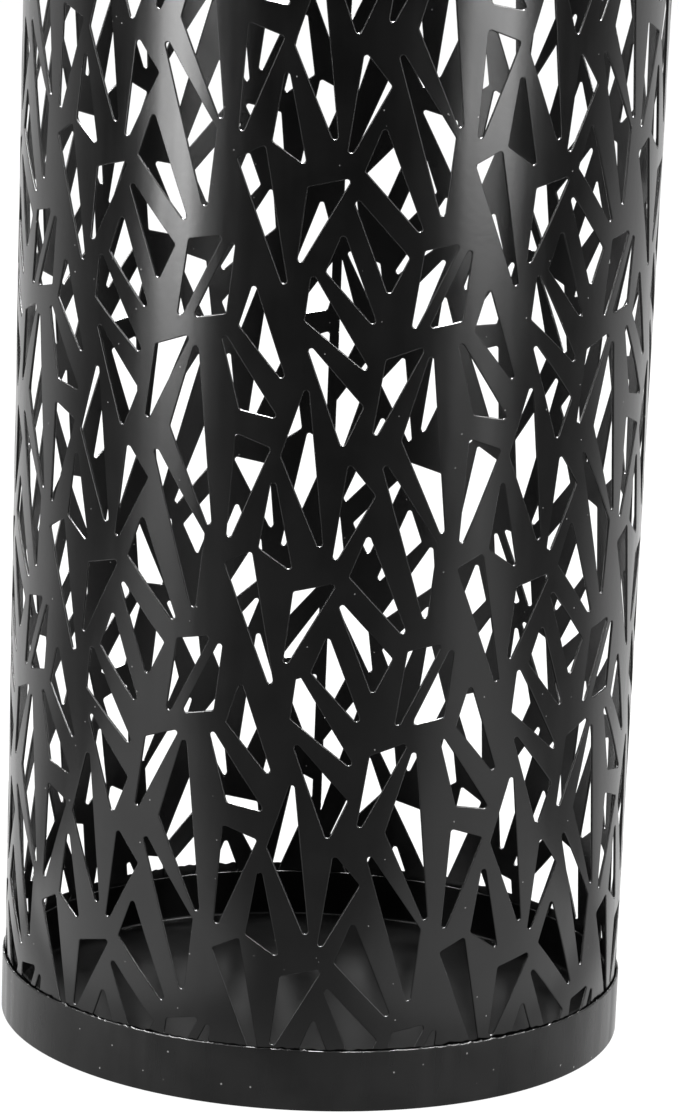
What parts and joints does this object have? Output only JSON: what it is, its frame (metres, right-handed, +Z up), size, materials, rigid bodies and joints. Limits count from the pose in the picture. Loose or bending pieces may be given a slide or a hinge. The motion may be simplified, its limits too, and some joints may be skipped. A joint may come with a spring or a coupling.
{
  "type": "umbrella stand",
  "caption": "Round sheet-steel umbrella stand with a shard-shaped cut-out wall, a plain base band and a loose drip tray.",
  "frame": {"origin": "centre of the stand's footprint on the floor", "axes": "+Z up along the stand's axis, -Y the front seen in the product view, +Y the rolled seam at the back"},
  "size_m": [0.1948, 0.1948, 0.49],
  "materials": {
    "body": "satin",
    "base": "satin",
    "trim": "satin",
    "weld": "satin",
    "tray": "satin"
  },
  "bodies": {
    "stand": {"perforated_body": "body", "base_band": "base", "base_plate": "base", "rim_trim": "trim", "seam_weld": "weld"},
    "tray": {"drip_tray": "tray"}
  },
  "joints": [
    {"name": "tray_lift", "type": "slide", "parent": "stand", "child": "tray", "axis": [0, 0, 1], "range_m": [0, 0.5]}
  ]
}
